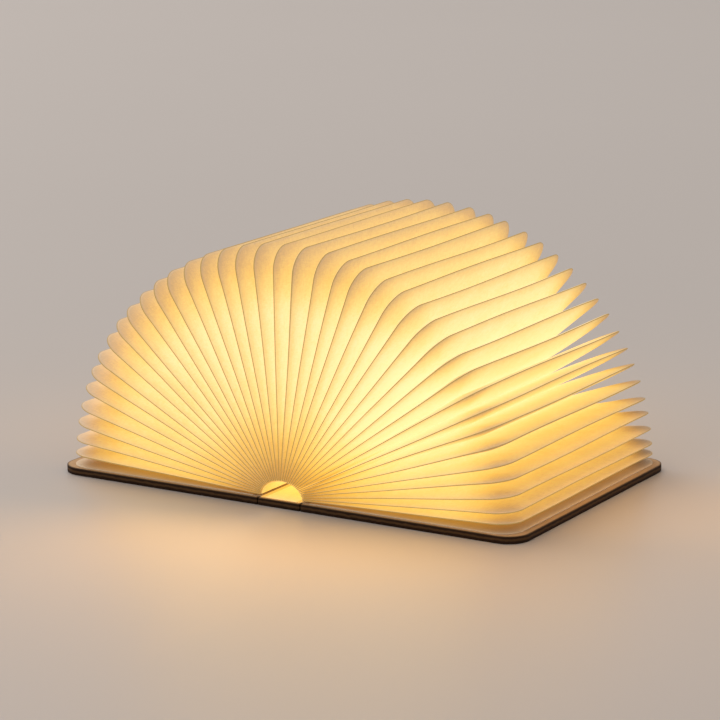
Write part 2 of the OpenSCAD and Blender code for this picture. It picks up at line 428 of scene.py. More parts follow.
class Nodes:
    """A node tree, with short ways to add and join nodes."""

    def __init__(self, tree: bpy.types.NodeTree) -> None:
        """Work on a tree."""
        self.tree = tree

    def node(self, kind: str, **values: object) -> bpy.types.Node:
        """Add a node and set its properties.

        Args:
            kind: Blender's name of the node type.
            values: Properties of the node.

        Returns:
            The new node.
        """
        made = self.tree.nodes.new(kind)
        for key, value in values.items():
            setattr(made, key, value)
        return made

    def feed(self, slot: Socket, value: Socket | Colour | float) -> None:
        """Join an output to an input, or set the input to a plain colour or number.

        Args:
            slot: The input.
            value: What it gets.
        """
        if isinstance(value, Socket):
            self.tree.links.new(value, slot)
        else:
            slot.default_value = (*value, 1.0) if isinstance(value, tuple) else value

    def noise(self, vector: Socket, scale: float, detail: float) -> Socket:
        """Fractal noise between 0 and 1.

        Args:
            vector: Coordinates that it is read at.
            scale: Waves per metre.
            detail: Number of finer layers.

        Returns:
            The noise value.
        """
        made = self.node("ShaderNodeTexNoise")
        made.inputs["Scale"].default_value = scale
        made.inputs["Detail"].default_value = detail
        self.feed(made.inputs["Vector"], vector)
        return made.outputs["Fac"]

    def split(self, vector: Socket) -> bpy.types.NodeOutputs:
        """Take a vector apart.

        Args:
            vector: The vector.

        Returns:
            Its X, Y and Z, by those names.
        """
        made = self.node("ShaderNodeSeparateXYZ")
        self.feed(made.inputs["Vector"], vector)
        return made.outputs

    def math(self, operation: str, *values: Socket | float) -> Socket:
        """Join numbers with a math node.

        Args:
            operation: Blender's name of the operation.
            values: The operation's numbers or sockets, in order.

        Returns:
            The result.
        """
        made = self.node("ShaderNodeMath", operation=operation)
        for slot, value in zip(made.inputs, values):
            self.feed(slot, value)
        return made.outputs["Value"]

    def ramp(self, value: Socket, stops: Stops) -> Socket:
        """Turn a number into a colour.

        Args:
            value: Number between 0 and 1.
            stops: Place and colour of each stop, in order.

        Returns:
            The colour.
        """
        made = self.node("ShaderNodeValToRGB")
        band = made.color_ramp
        for _ in range(len(stops) - 2):
            band.elements.new(0.5)
        for element, (place, colour) in zip(band.elements, stops):
            element.position = place
            element.color = (*colour, 1.0)
        self.feed(made.inputs["Fac"], value)
        return made.outputs["Color"]

    def mix(
        self,
        factor: Socket | float,
        a: Socket | Colour,
        b: Socket | Colour,
        blend: str = "MIX",
    ) -> Socket:
        """Mix two colours.

        Args:
            factor: Share of the second colour.
            a: First colour.
            b: Second colour.
            blend: Blender's name of the way they mix.

        Returns:
            The mixed colour.
        """
        made = self.node("ShaderNodeMix", data_type="RGBA", blend_type=blend)
        for slot, value in ((0, factor), (6, a), (7, b)):
            self.feed(made.inputs[slot], value)
        return made.outputs[2]


class Tree(Nodes):
    """A material's node tree, which holds one Principled shader."""

    def __init__(self, name: str) -> None:
        """Start a material.

        Args:
            name: Name of the material.
        """
        self.material = bpy.data.materials.new(name)
        self.material.use_nodes = True
        super().__init__(self.material.node_tree)
        self.shader = self.tree.nodes["Principled BSDF"]

    def set(self, **values: Socket | Colour | float) -> None:
        """Feed the shader; an underscore in an input's name stands for a space."""
        for key, value in values.items():
            self.feed(self.shader.inputs[key.replace("_", " ")], value)

    def coords(self) -> Socket:
        """The piece's own Object coordinates."""
        return self.node("ShaderNodeTexCoord").outputs["Object"]

    def mark(self, name: str) -> Socket:
        """A float attribute of the mesh."""
        return self.node("ShaderNodeAttribute", attribute_name=name).outputs["Fac"]

    def group(self, kit: bpy.types.NodeTree, **values: Socket | float) -> bpy.types.NodeOutputs:
        """Place a node group and feed it.

        Args:
            kit: The group.
            values: Sockets or numbers for its inputs.

        Returns:
            The group's outputs.
        """
        made = self.node("ShaderNodeGroup", node_tree=kit)
        for key, value in values.items():
            self.feed(made.inputs[key], value)
        return made.outputs

    def bump(self, height: Socket, depth: float, strength: float = 1.0) -> None:
        """Feed a height to the shader's normal.

        Args:
            height: Height between 0 and 1.
            depth: What a height of 1 stands for, in metres.
            strength: Share of the bump that is used.
        """
        made = self.node("ShaderNodeBump")
        made.inputs["Distance"].default_value = depth
        made.inputs["Strength"].default_value = strength
        self.feed(made.inputs["Height"], height)
        self.set(Normal=made.outputs["Normal"])


class Kit(Nodes):
    """A shader node group that several finishes share."""

    def __init__(self, name: str, inputs: dict[str, float | None], outputs: list[str]) -> None:
        """Start a group.

        Args:
            name: Name of the group.
            inputs: Input names with their defaults; None stands for a vector.
            outputs: Names of the number outputs.
        """
        super().__init__(bpy.data.node_groups.new(name, "ShaderNodeTree"))
        for key, value in inputs.items():
            kind = "NodeSocketVector" if value is None else "NodeSocketFloat"
            slot = self.tree.interface.new_socket(key, in_out="INPUT", socket_type=kind)
            if value is not None:
                slot.default_value = value
        for key in outputs:
            self.tree.interface.new_socket(key, in_out="OUTPUT", socket_type="NodeSocketFloat")
        self.entry = self.node("NodeGroupInput").outputs
        self.exit = self.node("NodeGroupOutput").inputs

    def threads(self, stretch: tuple[float, float, float], scale: float, detail: float) -> Socket:
        """Noise of the group's vector, drawn out along the axes with a small factor.

        Args:
            stretch: Factor along each axis.
            scale: Waves per metre.
            detail: Number of finer layers.

        Returns:
            The noise value.
        """
        made = self.node("ShaderNodeMapping")
        made.inputs["Scale"].default_value = stretch
        self.feed(made.inputs["Vector"], self.entry["Vector"])
        return self.noise(made.outputs["Vector"], scale, detail)

    def close(self, **values: Socket) -> bpy.types.NodeTree:
        """Feed the group's outputs.

        Args:
            values: Socket for each output.

        Returns:
            The finished group.
        """
        for key, value in values.items():
            self.feed(self.exit[key], value)
        return self.tree


@dataclass(frozen=True)
class Kits:
    """The shared groups."""

    fibres: bpy.types.NodeTree
    grain: bpy.types.NodeTree
    weave: bpy.types.NodeTree
    scuffs: bpy.types.NodeTree

    @classmethod
    def build(cls) -> "Kits":
        """Make the shared groups.

        Returns:
            The set of groups.
        """
        return cls(cls._fibres(), cls._grain(), cls._weave(), cls._scuffs())

    @staticmethod
    def _fibres() -> bpy.types.NodeTree:
        """Paper fibres: fine threads in two directions over soft clouds.

        Returns:
            The group. Its value varies about 0.
        """
        kit = Kit("paper_fibres", {"Vector": None, "Threads": 0.5, "Clouds": 0.5}, ["Value"])
        first = kit.threads((1.0, 0.16, 1.0), 2600.0, 2.0)
        second = kit.threads((0.2, 1.0, 0.3), 1900.0, 2.0)
        threads = kit.math("SUBTRACT", first, second)
        threads = kit.math("MULTIPLY", threads, kit.entry["Threads"])
        clouds = kit.math("SUBTRACT", kit.noise(kit.entry["Vector"], 95.0, 4.0), 0.5)
        clouds = kit.math("MULTIPLY", clouds, kit.entry["Clouds"])
        return kit.close(Value=kit.math("ADD", threads, clouds))

    @staticmethod
    def _grain() -> bpy.types.NodeTree:
        """Wood grain along Y: level lines of a slow noise, fine streaks, and short pores.

        Returns:
            The group.
        """
        kit = Kit("wood_grain", {"Vector": None}, ["Rings", "Pores"])
        lines, least = 17.0, 0.8
        slow = kit.threads((1.0, 0.09, 1.0), 26.0, 1.5)
        rings = kit.math("PINGPONG", kit.math("MULTIPLY", slow, lines), 1.0)
        streaks = kit.threads((1.0, 0.03, 1.0), 620.0, 3.0)
        rings = kit.math("MULTIPLY", kit.math("ADD", rings, least), streaks)
        return kit.close(Rings=rings, Pores=kit.threads((1.0, 0.05, 1.0), 2400.0, 2.0))

    @staticmethod
    def _weave() -> bpy.types.NodeTree:
        """Plain weave: the product of two crossed waves.

        Returns:
            The group. Its value lies between 0 and 1.
        """
        kit = Kit("cloth_weave", {"Vector": None, "Threads per metre": 2200.0}, ["Value"])
        scaled = kit.node("ShaderNodeVectorMath", operation="SCALE")
        kit.feed(scaled.inputs[0], kit.entry["Vector"])
        kit.feed(scaled.inputs["Scale"], kit.entry["Threads per metre"])
        place = kit.split(scaled.outputs["Vector"])
        warp, weft = (
            kit.math("SINE", kit.math("MULTIPLY", place[axis], math.pi)) for axis in "XY"
        )
        cross = kit.math("MULTIPLY", warp, weft)
        return kit.close(Value=kit.math("MULTIPLY_ADD", cross, 0.5, 0.5))

    @staticmethod
    def _scuffs() -> bpy.types.NodeTree:
        """Handling marks: fine moulded texture with a few broader smears.

        Returns:
            The group.
        """
        kit = Kit("light_scuffs", {"Vector": None}, ["Fine", "Smears"])
        fine, smears = ((5200.0, 2.0), (260.0, 4.0))
        vector = kit.entry["Vector"]
        return kit.close(Fine=kit.noise(vector, *fine), Smears=kit.noise(vector, *smears))


# ------------------------------------------------------------------ finishes


@dataclass(frozen=True)
class PagePaper:
    """Warm translucent paper, lit from inside.

    The `glow` mark says how much of the light comes through, less where shade is painted into
    it on plies that face right and on pages near a cover, and `seam` is 1 along the glued rim,
    where two plies and the glue hold some of it back.
    """

    name: str = "page_paper"
    unlit: Colour = (0.57, 0.484, 0.40)
    seam: Colour = (0.25, 0.185, 0.095)
    seam_light: Colour = (0.27, 0.165, 0.037)
    light: Stops = (
        (0.0, (0.0, 0.0, 0.0)),
        (0.23, (0.13, 0.065, 0.006)),
        (0.46, (0.31, 0.160, 0.024)),
        (0.64, (0.48, 0.300, 0.048)),
        (0.78, (0.58, 0.405, 0.115)),
        (0.91, (0.64, 0.490, 0.230)),
        (1.0, (0.66, 0.530, 0.290)),
    )

    def build(self, kits: Kits) -> bpy.types.Material:
        """Make the material.

        Args:
            kits: The shared groups.

        Returns:
            The material.
        """
        tree = Tree(self.name)
        fibres = tree.group(kits.fibres, Vector=tree.coords(), Threads=0.22, Clouds=0.12)["Value"]
        seam = tree.mark("seam")
        light = tree.ramp(tree.math("ADD", tree.mark("glow"), fibres), self.light)
        tree.set(
            Base_Color=tree.mix(seam, self.unlit, self.seam),
            Emission_Color=tree.mix(seam, light, self.seam_light),
            Emission_Strength=1.0,
            Roughness=0.72,
            Specular_IOR_Level=0.25,
        )
        tree.bump(fibres, 0.12 * MM, 0.5)
        return tree.material


@dataclass(frozen=True)
class SheetPaper:
    """Cream paper on the inner faces, lit by the pages above it."""

    name: str = "end_paper"
    colour: Colour = (0.74, 0.60, 0.43)
    shade: Colour = (0.66, 0.52, 0.36)

    def build(self, kits: Kits) -> bpy.types.Material:
        """Make the material.

        Args:
            kits: The shared groups.

        Returns:
            The material.
        """
        tree = Tree(self.name)
        fibres = tree.group(kits.fibres, Vector=tree.coords(), Threads=0.5, Clouds=0.7)["Value"]
        value = tree.math("ADD", fibres, 0.5)
        colour = tree.ramp(value, ((0.25, self.shade), (0.75, self.colour)))
        tree.set(Base_Color=colour, Roughness=0.8)
        tree.bump(fibres, 0.1 * MM, 0.5)
        return tree.material


@dataclass(frozen=True)
class BoardWood:
    """Thin board: walnut veneer outside, bare light core inside, burnt cut edges.

    The `edge` mark is 1 on the cut edge and falls to 0 a millimetre into the faces. Height
    counts as a share of the thickness, and the cut's layers wander a little.
    """

    name: str = "board_wood"
    thickness: float = 2.8 * MM
    inner_from: float = 0.8
    wander: float = 0.35
    veneer: Colour = (0.115, 0.052, 0.024)
    veneer_dark: Colour = (0.045, 0.018, 0.008)
    inside: Colour = (0.56, 0.37, 0.205)
    inside_dark: Colour = (0.46, 0.29, 0.15)
    burnt: Colour = (0.024, 0.0095, 0.0035)
    core: Colour = (0.088, 0.044, 0.017)

    def build(self, kits: Kits) -> bpy.types.Material:
        """Make the material.

        Args:
            kits: The shared groups.

        Returns:
            The material.
        """
        tree = Tree(self.name)
        coords = tree.coords()
        grain = tree.group(kits.grain, Vector=coords)
        pores = grain["Pores"]
        height = tree.math("DIVIDE", tree.split(coords)["Z"], self.thickness)
        rings = tree.math("MULTIPLY", grain["Rings"], pores)
        outer = tree.ramp(rings, ((0.18, self.veneer_dark), (0.52, self.veneer)))
        inner = tree.ramp(pores, ((0.3, self.inside_dark), (0.7, self.inside)))
        faces = tree.mix(tree.math("GREATER_THAN", height, self.inner_from), outer, inner)
        mottle = tree.noise(coords, 420.0, 4.0)
        stray = tree.math("MULTIPLY", tree.math("SUBTRACT", mottle, 0.5), self.wander)
        layers = ((0.0, 0.34, self.burnt), (0.46, 0.60, self.core), (0.72, 1.0, self.burnt))
        stops = tuple((place, colour) for *ends, colour in layers for place in ends)
        cut = tree.ramp(tree.math("ADD", height, stray), stops)
        tree.set(
            Base_Color=tree.mix(tree.mark("edge"), faces, cut),
            Roughness=tree.math("MULTIPLY_ADD", pores, 0.2, 0.55),
            Specular_IOR_Level=0.12,
        )
        tree.bump(tree.math("ADD", pores, mottle), 0.12 * MM, 0.6)
        return tree.material


@dataclass(frozen=True)
class HingeCloth:
    """Fine woven book cloth, with the diodes' light on it where its `glow` mark says so."""

    name: str = "hinge_cloth"
    thread: Colour = (0.52, 0.38, 0.23)
    gap: Colour = (0.30, 0.20, 0.11)
    light: Colour = (0.66, 0.36, 0.045)
    light_gap: Colour = (0.60, 0.32, 0.04)

    def build(self, kits: Kits) -> bpy.types.Material:
        """Make the material.

        Args:
            kits: The shared groups.

        Returns:
            The material.
        """
        tree = Tree(self.name)
        weave = tree.group(kits.weave, Vector=tree.coords())["Value"]
        colour = tree.ramp(weave, ((0.1, self.gap), (0.8, self.thread)))
        light = tree.ramp(weave, ((0.1, self.light_gap), (0.8, self.light)))
        tree.set(
            Base_Color=colour,
            Emission_Color=tree.mix(1.0, light, tree.mark("glow"), "MULTIPLY"),
            Emission_Strength=1.0,
            Roughness=0.85,
            Sheen_Weight=0.25,
        )
        tree.bump(weave, 0.06 * MM)
        return tree.material


@dataclass(frozen=True)
class Moulded:
    """Plastic or resin with a fine moulded texture and faint handling marks.

    The smears dull the colour to a share of itself, and spread the roughness upwards from
    a little less than the finish's own.
    """

    name: str
    colour: Colour
    roughness: float = 0.5
    # light that the surface gives off: the diodes' and diffuser's own, and painted light on the
    # tray
    glow: Colour | None = None
    depth: float = 0.02 * MM
    dulled: float = 0.88
    dull_to: float = 0.3
    plain_from: float = 0.65
    spread: float = 0.16
    smoother: float = 0.08
    metallic: float = 0.0
    glow_dimmed: float = 0.92

    def build(self, kits: Kits) -> bpy.types.Material:
        """Make the material.

        Args:
            kits: The shared groups.

        Returns:
            The material.
        """
        tree = Tree(self.name)
        marks = tree.group(kits.scuffs, Vector=tree.coords())
        smears = marks["Smears"]
        dull = tuple(self.dulled * c for c in self.colour)
        least = self.roughness - self.smoother
        tree.set(
            Base_Color=tree.ramp(smears, ((self.dull_to, dull), (self.plain_from, self.colour))),
            Roughness=tree.math("MULTIPLY_ADD", smears, self.spread, least),
            Metallic=self.metallic,
        )
        tree.bump(marks["Fine"], self.depth)
        if self.glow:
            dim = tuple(self.glow_dimmed * c for c in self.glow)
            light = tree.ramp(smears, ((0.3, dim), (0.7, self.glow)))
            tree.set(Emission_Color=light, Emission_Strength=1.0)
        return tree.material


@dataclass(frozen=True)
class Plated(Moulded):
    """Plated metal with a brushed or satin surface."""

    depth: float = 0.008 * MM
    dulled: float = 0.82
    dull_to: float = 0.35
    plain_from: float = 0.6
    spread: float = 0.2
    metallic: float = 1.0


class Finish(Enum):
    """The finishes that the pieces are given."""

    BOARD = BoardWood()
    SHEET = SheetPaper()
    PAGE = PagePaper()
    # its glow is painted light on the root strips and the spine lining, the module's light that
    # falls on them
    BINDING = PagePaper("binding_paper", unlit=(0.72, 0.60, 0.44))
    CLOTH = HingeCloth()
    MAGNET = Plated("magnet_nickel", (0.72, 0.73, 0.74), 0.22)
    # the tray's glow is painted light, the diodes' light that falls on its walls
    TRAY = Moulded("tray_plastic", (0.62, 0.54, 0.40), 0.5, glow=(0.46, 0.27, 0.045))
    CELL = Plated("cell_foil", (0.62, 0.64, 0.66), 0.4)
    LEAD = Moulded("lead_insulation", (0.45, 0.05, 0.03), 0.45)
    BOARD_MASK = Moulded("circuit_board", (0.86, 0.87, 0.83), 0.4)
    DIODE = Moulded("diode_resin", (0.95, 0.75, 0.30), 0.3, glow=(1.0, 0.86, 0.45))
    SENSOR = Moulded("sensor_resin", (0.02, 0.02, 0.022), 0.4)
    SOCKET = Plated("socket_steel", (0.70, 0.71, 0.72), 0.3)
    DIFFUSER = Moulded("diffuser_plastic", (0.85, 0.78, 0.6), 0.45, glow=(0.85, 0.56, 0.11))


class Paintbox:
    """Keeps each finish's material, made the first time it is asked for."""

    def __init__(self) -> None:
        """Start with the shared groups and no materials."""
        self.kits = Kits.build()
        self.made: dict[Finish, bpy.types.Material] = {}

    def paint(self, piece: bpy.types.Object, finish: Finish) -> None:
        """Give a piece a finish.

        Args:
            piece: The piece or CAD node.
            finish: Its finish.
        """
        if finish not in self.made:
            self.made[finish] = finish.value.build(self.kits)
        piece.data.materials.clear()
        piece.data.materials.append(self.made[finish])


# ------------------------------------------------------------------ boards and sheets


@dataclass(frozen=True)
class Plate:
    """A flat plate with two rounded far corners and eased edges, as on the right side.

    Rings of the same outline, drawn in by an inset at a height, follow one another from the
    middle of the lower face, round the eased edge and over to the middle of the upper face.
    """

    x0: float
    x1: float
    half: float  # of its depth along Y
    z0: float
    z1: float
    near_r: float
    far_r: float
    ease: float = 0.25 * MM
    middle: float = 0.0  # along Y
    least_r: float = 0.02 * MM
    burn: float = 1.1 * MM  # how far the cut edge's scorch reaches into a face
    scorch: tuple[float, float] = (0.25, 0.85)  # half way into a face, and on the easing
    arc: int = 16
    ease_arc: int = 4

    def _ring(self, inset: float) -> np.ndarray:
        """One outline, anticlockwise seen from above.

        A corner of radius r stays on its centre and is drawn in to r - inset.

        Args:
            inset: How far the outline lies inside the plate's own.

        Returns:
            X and Y of each point.
        """
        parts = []
        for x, y, r, start in (
            (self.x1, -self.half, self.far_r, -90.0),
            (self.x1, self.half, self.far_r, 0.0),
            (self.x0, self.half, self.near_r, 90.0),
            (self.x0, -self.half, self.near_r, 180.0),
        ):
            a = np.radians(start + np.linspace(0.0, 90.0, self.arc))
            r = max(r, inset + self.least_r)
            cx = x - r if x == self.x1 else x + r
            cy = y - math.copysign(r, y)
            drawn = r - inset
            parts.append(np.stack([cx + drawn * np.cos(a), cy + drawn * np.sin(a)], -1))
        return np.concatenate(parts)

    def _profile(self) -> np.ndarray:
        """The plate's section: two face rings, a quarter circle, and the same above.

        The last ring of each quarter circle bounds the cut edge, so that its mark is 1.

        Returns:
            Inset, height and edge mark of each ring, from below to above.
        """
        e, (halfway, eased) = self.ease, self.scorch
        a = np.radians(np.linspace(0.0, 90.0, self.ease_arc))
        inset = np.concatenate([[self.burn, self.burn / 2], e * (1 - np.sin(a))])
        rise = np.concatenate([[0.0, 0.0], e * (1 - np.cos(a))])
        mark = np.concatenate([[0.0, halfway], np.full(self.ease_arc - 1, eased), [1.0]])
        below = np.stack([inset, self.z0 + rise, mark], -1)
        above = np.stack([inset, self.z1 - rise, mark], -1)[::-1]
        return np.concatenate([below, above])

    def build(self, name: str, side: Side = Side.RIGHT, **plain: float) -> bpy.types.Object:
        """Make the plate.

        Args:
            name: Name of the piece.
            side: The side that it lies on.
            plain: Marks that are the same all over.

        Returns:
            The piece.
        """
        insets, heights, edge = self._profile().T
        outlines = [self._ring(inset) for inset in insets]
        count = len(outlines[0])
        points = np.column_stack([np.concatenate(outlines), np.repeat(heights, count)])
        points = points * (side.value, 1.0, 1.0) + (0.0, self.middle, 0.0)
        faces = Mesh.solid(len(insets), count)
        if side is Side.LEFT:
            faces = [face[::-1] for face in faces]
        marks = {"edge": np.repeat(edge, count)}
        marks |= {mark: np.full(len(points), value) for mark, value in plain.items()}
        return Mesh.build(name, points, faces, marks, crease=25.0)


@dataclass(frozen=True)
class Covers:
    """The two cover boards, the spine board, the end sheets and the hinge tapes."""

    paintbox: Paintbox
    joints: dict[str, dict]
    corner_r: float = 9.0 * MM
    board_near_r: float = 0.35 * MM
    sheet_near_r: float = 0.3 * MM
    sheet_ease: float = 0.08 * MM
    lining_r: float = 0.2 * MM
    lining_ease: float = 0.04 * MM
    # painted light from the module on the spine lining
    lining_glow: float = 0.66
    clearance: float = 0.05 * MM
    pocket_gap: float = 0.1 * MM  # beside the module
    magnet_reach: float = 8.0 * MM  # wider than a disc, narrower than the space between two
    magnet_arc: int = 48
    hinge_reach: float = 0.5 * MM  # to each side of the hinge line
    tape_bend: tuple[float, float] = (-2.4, 1.2)  # in hinge reaches
    tape_bend_count: int = 19
    tape_flat_count: int = 4
    tape_across_count: int = 50
    tape_glow_fade: float = 0.3 * MM

    def build(self) -> list[bpy.types.Object]:
        """Make every flat piece of the binding.

        Returns:
            The pieces.
        """
        pieces = [self._spine(), self._lining()]
        for side in Side:
            pieces += [self._cover(side), self._sheet(side), self._tape(side)]
        return pieces

    def _span(self, node: str) -> tuple[float, float, float, float, float]:
        """Read a node's box, as on the right side.

        Args:
            node: Name of the CAD node.

        Returns:
            Its near x, far x, half depth, lower z and upper z.
        """
        low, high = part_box(node)
        x0, x1 = sorted((abs(low.x), abs(high.x)))
        return x0, x1, (high.y - low.y) / 2, low.z, high.z

    def _cover(self, side: Side) -> bpy.types.Object:
        """Make a cover board with its magnet pockets.

        Args:
            side: The side that it lies on.

        Returns:
            The piece.
        """
        node = f"{side}_cover_board"
        span = self._span(node)
        board = Plate(*span, self.board_near_r, self.corner_r).build(f"{side}_board", side)
        Mesh.carve(board, self._magnet_pockets(side, span[-1]))
        self.paintbox.paint(board, Finish.BOARD)
        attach(board, f"{side}_cover")
        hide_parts(node)
        return board

    def _magnet_pockets(self, side: Side, top: float) -> list[bpy.types.Object]:
        """Cutters for the magnets, read from the magnets' own node.

        All vertices that lie within a disc's reach of one vertex belong to its disc. They
        give one round pocket and are taken out, until no vertex is left.

        Args:
            side: The side that the magnets lie on.
            top: Height of the board's inner face.

        Returns:
            One cutter for each magnet.
        """
        places = Mesh.points(bpy.data.objects[f"{side}_magnets"])
        turn = np.arange(self.magnet_arc) * 2 * math.pi / self.magnet_arc
        circle = np.stack([np.cos(turn), np.sin(turn)], -1)
        cutters = []
        while len(places):
            near = np.linalg.norm(places[:, :2] - places[0, :2], axis=1) < self.magnet_reach
            disc, places = places[near], places[~near]
            low, high = disc.min(0), disc.max(0)
            r = (high[0] - low[0]) / 2 + self.clearance
            outline = (low[:2] + high[:2]) / 2 + r * circle
            cutters.append(Mesh.prism("cutter", outline, low[2] - self.clearance, top + MM))
        return cutters

    def _spine(self) -> bpy.types.Object:
        """Make the spine board with the pocket for the light module.

        Returns:
            The piece.
        """
        low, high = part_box("spine_board")
        tray_low, tray_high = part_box("module_tray")
        r = self.board_near_r
        board = Plate(low.x, high.x, high.y, low.z, high.z, r, r).build("spine_core")
        x0, x1 = tray_low.x - self.pocket_gap, tray_high.x + self.pocket_gap
        y0, y1 = tray_low.y - self.clearance, high.y + MM
        outline = np.array([(x0, y0), (x1, y0), (x1, y1), (x0, y1)])
        Mesh.carve(board, [Mesh.prism("cutter", outline, tray_low.z, high.z + MM)])
        self.paintbox.paint(board, Finish.BOARD)
        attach(board, "spine")
        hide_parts("spine_board")
        return board

    def _lining(self) -> bpy.types.Object:
        """Make the evenly lit paper on the spine, between its front end and the module.

        The sheet lies between the tapes, a clearance away from them.

        Returns:
            The piece.
        """
        low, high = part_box("right_hinge_tape")
        x1, r = low.x - self.clearance, self.lining_r
        y0, y1 = low.y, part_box("module_tray")[0].y - self.clearance
        half, middle = (y1 - y0) / 2, (y0 + y1) / 2
        plate = Plate(-x1, x1, half, low.z, high.z, r, r, self.lining_ease, middle)
        sheet = plate.build("spine_lining", glow=self.lining_glow, seam=0.0)
        self.paintbox.paint(sheet, Finish.BINDING)
        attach(sheet, "spine")
        return sheet

    def _sheet(self, side: Side) -> bpy.types.Object:
        """Make the paper on a cover's inner face.

        Args:
            side: The side that it lies on.

        Returns:
            The piece.
        """
        node = f"{side}_end_sheet"
        plate = Plate(*self._span(node), self.sheet_near_r, self.corner_r, self.sheet_ease)
        sheet = plate.build(f"{side}_lining", side)
        self.paintbox.paint(sheet, Finish.SHEET)
        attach(sheet, f"{side}_cover")
        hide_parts(node)
        return sheet

    def _tape(self, side: Side) -> bpy.types.Object:
        """Make a cloth tape that lies over the hinge line.

        The strip is a sleeve of rings along X, close together at the hinge. The light that
        falls on it ends at the hinge.

        Args:
            side: The side that it lies on.

        Returns:
            The piece.
        """
        node = f"{side}_hinge_tape"
        x0, x1, half, z0, z1 = self._span(node)
        sign = side.value
        hinge = abs(self.joints[f"{side}_cover_fold"]["pos_m"][0])
        bend = hinge + self.hinge_reach * np.linspace(*self.tape_bend, self.tape_bend_count)
        inner = np.linspace(x0, bend[0], self.tape_flat_count)[:-1]
        outer = np.linspace(bend[-1], x1, self.tape_flat_count)[1:]
        xs = sign * np.concatenate([inner, bend, outer])
        ys = np.linspace(-half, half, self.tape_across_count)
        x, y = np.meshgrid(xs, ys, indexing="ij")
        points = Mesh.rings(*(np.stack([x, y, np.full_like(x, z)], -1) for z in (z1, z0)))
        faces = Mesh.sleeve(len(xs), len(ys), turned=side is Side.LEFT)
        reach = (hinge - self.hinge_reach - np.abs(points[..., 0])) / self.tape_glow_fade
        tape = Mesh.build(f"{side}_tape", points, faces, {"glow": smooth(reach)})
        self.paintbox.paint(tape, Finish.CLOTH)
        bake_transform(tape)
        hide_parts(node)
        return tape


# ------------------------------------------------------------------ pages


@dataclass(frozen=True)
class Leaf:
    """The middle plane of one page, read from its CAD node, in X and Z."""

    name: str
    side: Side
    root: np.ndarray
    along: np.ndarray
    length: float
    half: float

    @classmethod
    def read(cls, name: str) -> "Leaf":
        """Read a page's plane from its node.

        The plate's longest direction in X and Z is its slope, and the root is its end that
        lies nearer to the spine.

        Args:
            name: Name of the CAD node.

        Returns:
            The plane.
        """
        points = Mesh.points(bpy.data.objects[name])
        section = points[:, [0, 2]]
        middle = (section.min(0) + section.max(0)) / 2
        along = np.linalg.svd(section - section.mean(0), full_matrices=False)[2][0]
        along = along if along @ middle > 0 else -along
        normal = np.array([-along[1], along[0]])
        reach = (section - middle) @ along
        middle = middle + np.mean((section - middle) @ normal) * normal
        root = middle + along * reach.min()
        side = Side[name.split("_")[0].upper()]
        return cls(name, side, root, along, float(np.ptp(reach)), float(points[:, 1].max()))

    @property
    def normal(self) -> np.ndarray:
        """The direction across the page, towards the next page over the top."""
        return np.array([-self.along[1], self.along[0]])

    @property
    def slope(self) -> float:
        """The page's angle above the right cover, in radians."""
        return math.atan2(self.along[1], self.along[0])

    def at(self, s: np.ndarray) -> np.ndarray:
        """Points of the middle plane at distances s from the root."""
        return self.root + s[..., None] * self.along


@dataclass(frozen=True)
class Attitude:
    """How a ply stands."""

    turned: float  # about 0 where it faces left, about 1 where it faces right
    down: float  # 0 where it faces up, 1 where it faces down
    low: float  # 0 where its page stands upright, 1 where it lies on a cover
    lean: float  # 1 where its page leans 45 degrees to the right, 0 far from there


@dataclass(frozen=True)
class Loss:
    """A loss of light that is whole at distance 0, and fades out at its reach.

    It is `least`, plus the last three numbers times those of the ply's attitude.
    """

    reach: float
    least: float
    turned: float = 0.0
    low: float = 0.0
    lean: float = 0.0

    def share(self, distance: np.ndarray, way: Attitude) -> np.ndarray:
        """The share of the light that is left: 1 - loss (1 - smooth(distance / reach)).

        Args:
            distance: Distance from what dims the light.
            way: How the ply stands.

        Returns:
            The share at each distance.
        """
        loss = self.least + self.turned * way.turned + self.low * way.low + self.lean * way.lean
        return 1 - loss * (1 - smooth(distance / self.reach))


